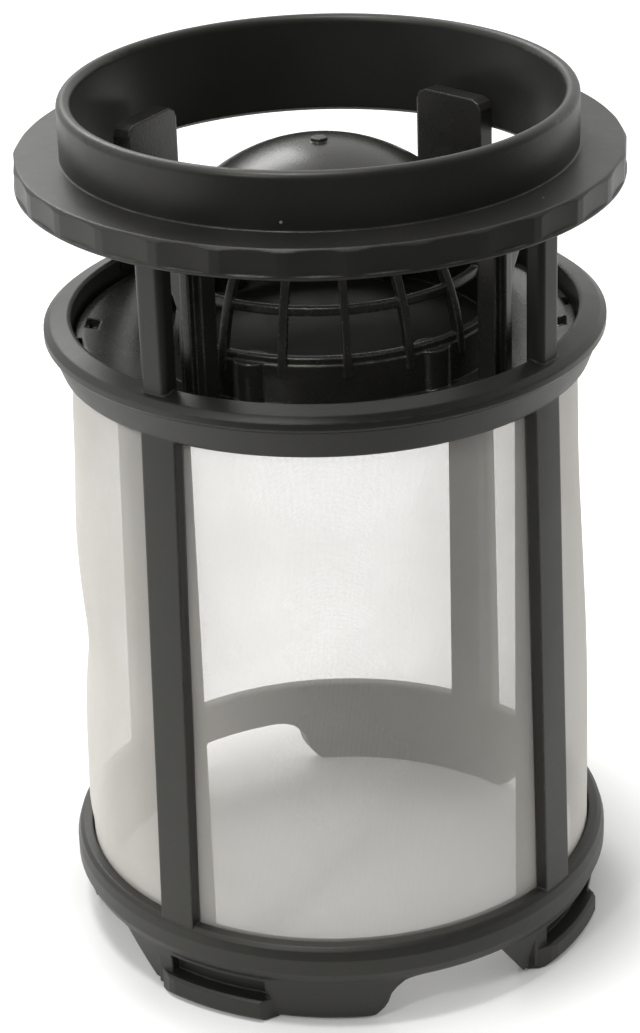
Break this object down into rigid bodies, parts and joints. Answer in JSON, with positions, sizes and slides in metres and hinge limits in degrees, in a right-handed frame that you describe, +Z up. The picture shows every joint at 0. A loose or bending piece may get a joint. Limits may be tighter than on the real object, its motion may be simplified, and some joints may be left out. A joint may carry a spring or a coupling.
{
  "type": "dishwasher filter",
  "caption": "Cylindrical dishwasher fine filter with a mesh sleeve, a scalloped flange and a collar, and a domed coarse strainer inside its head.",
  "frame": {"origin": "centre of the base, at the height the feet stand on", "axes": "+Z up along the filter's axis, -Y towards the front of the picture"},
  "size_m": [0.083, 0.083, 0.125],
  "materials": {
    "head_plastic": "fine satin moulded",
    "cage_plastic": "fine satin moulded",
    "strainer_plastic": "fine satin moulded",
    "mesh_nylon": "fine woven monofilament"
  },
  "bodies": {
    "root": {"head": "head_plastic", "cage": "cage_plastic", "mesh": "mesh_nylon", "strainer": "strainer_plastic"}
  },
  "joints": []
}
